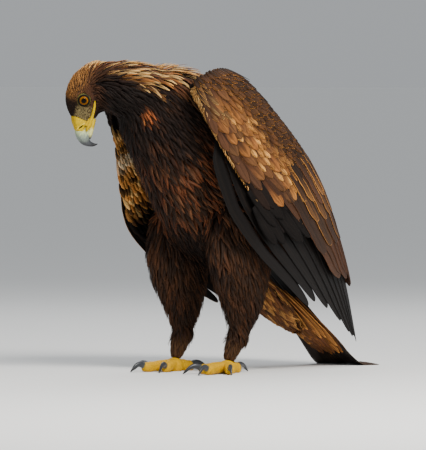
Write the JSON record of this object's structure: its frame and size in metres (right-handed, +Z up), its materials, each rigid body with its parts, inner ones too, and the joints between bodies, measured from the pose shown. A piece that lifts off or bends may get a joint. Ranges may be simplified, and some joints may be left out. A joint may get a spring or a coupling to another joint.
{
  "type": "golden eagle",
  "caption": "Still life-size golden eagle with folded wings, standing with its head bowed and turned aside and its tail end laid on the floor.",
  "frame": {"origin": "on the floor under the middle of the bird's box", "axes": "+Z up, the bird faces -Y, its left side is +X"},
  "size_m": [0.277, 0.6285, 0.5016],
  "materials": {
    "nape_feathers": "golden brown pointed feathers with pale edges",
    "body_feathers": "very dark brown feathers with rufous streaks",
    "covert_feathers": "brown feathers with pale fringes",
    "flight_feathers": "dark brown, long stiff feathers",
    "undertail_feathers": "rufous and golden soft feathers",
    "bare_skin": "yellow scaled or waxy skin",
    "horn": "dark grey horn",
    "eye": "amber iris under a clear cornea"
  },
  "bodies": {
    "root": {"head": "nape_feathers", "neck": "nape_feathers", "trunk": "body_feathers", "undertail_coverts": "undertail_feathers", "tail": "flight_feathers", "cere": "bare_skin", "upper_bill": "horn", "lower_bill": "horn", "eye_left": "eye", "eye_right": "eye", "wing_arm_left": "covert_feathers", "wing_secondaries_left": "flight_feathers", "wing_primaries_left": "flight_feathers", "thigh_left": "body_feathers", "shank_left": "body_feathers", "toes_left": "bare_skin", "talon_inner_left": "horn", "talon_middle_left": "horn", "talon_outer_left": "horn", "talon_hind_left": "horn", "wing_arm_right": "covert_feathers", "wing_secondaries_right": "flight_feathers", "wing_primaries_right": "flight_feathers", "thigh_right": "body_feathers", "shank_right": "body_feathers", "toes_right": "bare_skin", "talon_inner_right": "horn", "talon_middle_right": "horn", "talon_outer_right": "horn", "talon_hind_right": "horn"}
  },
  "joints": []
}
